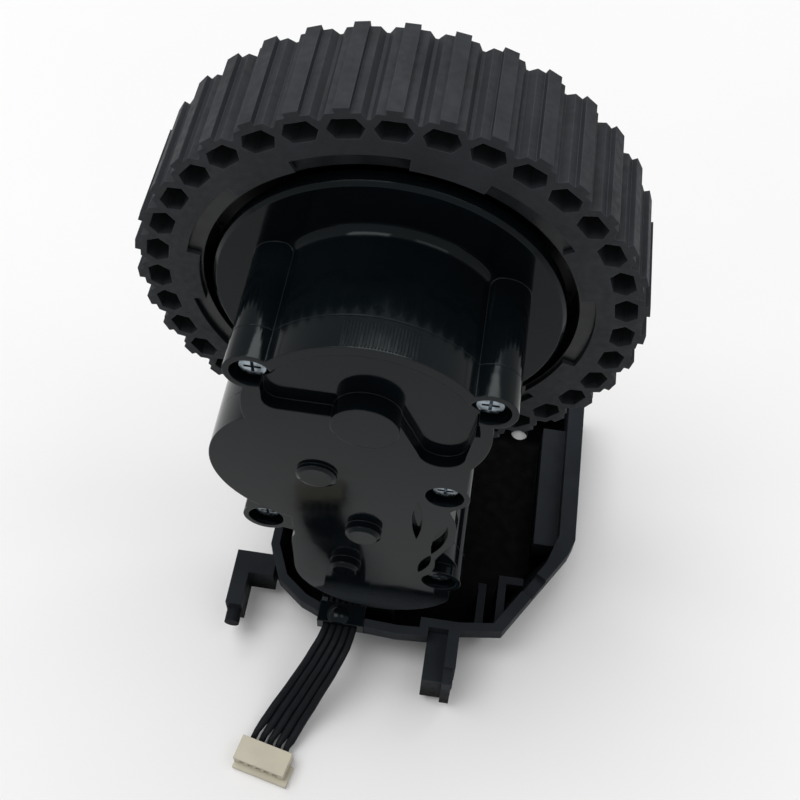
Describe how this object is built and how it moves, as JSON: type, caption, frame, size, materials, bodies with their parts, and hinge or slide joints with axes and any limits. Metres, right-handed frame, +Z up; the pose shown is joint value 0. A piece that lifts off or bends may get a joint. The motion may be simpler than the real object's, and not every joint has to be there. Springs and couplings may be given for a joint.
{
  "type": "robot vacuum wheel module",
  "caption": "Sprung drive wheel module: a lugged rubber tyre on a geared motor arm that swings on a steel pin in an open plastic tray, with a short ribbon cable and plug.",
  "frame": {"origin": "on the table, on the tray's bottom face, straight below the wheel's axis and level with the tyre's front face", "axes": "+Z up from the tray to the wheel, +Y along the wheel's axis from the gearbox cover towards the wheel, +X to the side that the arm swings to"},
  "size_m": [0.0702, 0.0806, 0.1068],
  "materials": {
    "tray_plastic": "fine satin moulded black",
    "gloss_black": "glossy moulded black",
    "rim_plastic": "satin moulded dark grey",
    "tyre_rubber": "matte black rubber",
    "pad_rubber": "matte",
    "steel": "ground",
    "spring_steel": "drawn wire",
    "motor_steel": "zinc plated",
    "zinc": "bright zinc plated",
    "bronze": "sintered",
    "brass_pinion": "cut",
    "gear_plastic": "natural acetal",
    "white_plastic": "moulded",
    "board_green": "solder mask",
    "magnet_black": "bonded ferrite",
    "wire_black": "soft insulation",
    "connector_cream": "moulded nylon",
    "contact_tin": "tin plated"
  },
  "bodies": {
    "frame": {"frame": "tray_plastic", "pivot_pin": "steel", "pivot_clip": "steel", "torsion_spring": "spring_steel", "stop_pad": "pad_rubber", "cable_clip": "gloss_black", "cable": "wire_black", "connector": "connector_cream", "connector_contacts": "contact_tin"},
    "arm": {"inner_shell": "gloss_black", "gear_cover": "gloss_black", "cover_screws": "zinc", "rear_bush": "bronze", "front_bush": "bronze", "gear_pins": "steel", "motor_can": "motor_steel", "motor_end_cap": "white_plastic", "motor_screws": "zinc", "encoder_board": "board_green"},
    "wheel": {"tyre": "tyre_rubber", "wheel_rim": "rim_plastic", "wheel_axle": "steel", "hub_screw": "zinc", "output_gear": "gear_plastic"},
    "third_gear": {"third_gear": "gear_plastic"},
    "second_gear": {"second_gear": "gear_plastic"},
    "first_gear": {"first_gear": "gear_plastic"},
    "rotor": {"motor_shaft": "steel", "motor_pinion": "brass_pinion", "encoder_magnet": "magnet_black"}
  },
  "joints": [
    {"name": "arm_swing", "type": "hinge", "parent": "frame", "child": "arm", "pos_m": [0.0016, 0, 0.0062], "axis": [0, 1, 0], "range_deg": [0, 25], "stiffness_Nm_per_rad": 0.4, "springref_deg": -11.46, "deforming": ["torsion_spring"]},
    {"name": "wheel_spin", "type": "hinge", "parent": "arm", "child": "wheel", "pos_m": [0, 0, 0.07182], "axis": [0, 1, 0], "continuous": true},
    {"name": "third_spin", "type": "hinge", "parent": "arm", "child": "third_gear", "pos_m": [-0.00683, 0, 0.05691], "axis": [0, 1, 0], "continuous": true},
    {"name": "second_spin", "type": "hinge", "parent": "arm", "child": "second_gear", "pos_m": [-0.00017, 0, 0.04181], "axis": [0, 1, 0], "continuous": true},
    {"name": "first_spin", "type": "hinge", "parent": "arm", "child": "first_gear", "pos_m": [-0.00309, 0, 0.02914], "axis": [0, 1, 0], "continuous": true},
    {"name": "rotor_spin", "type": "hinge", "parent": "arm", "child": "rotor", "pos_m": [0.00181, 0, 0.02535], "axis": [0, 1, 0], "continuous": true}
  ],
  "couplings": [
    {"joint": "third_spin", "follows": "wheel_spin", "ratio": -2.7273},
    {"joint": "second_spin", "follows": "wheel_spin", "ratio": 8.5227},
    {"joint": "first_spin", "follows": "wheel_spin", "ratio": -35.795},
    {"joint": "rotor_spin", "follows": "wheel_spin", "ratio": 87.5}
  ]
}
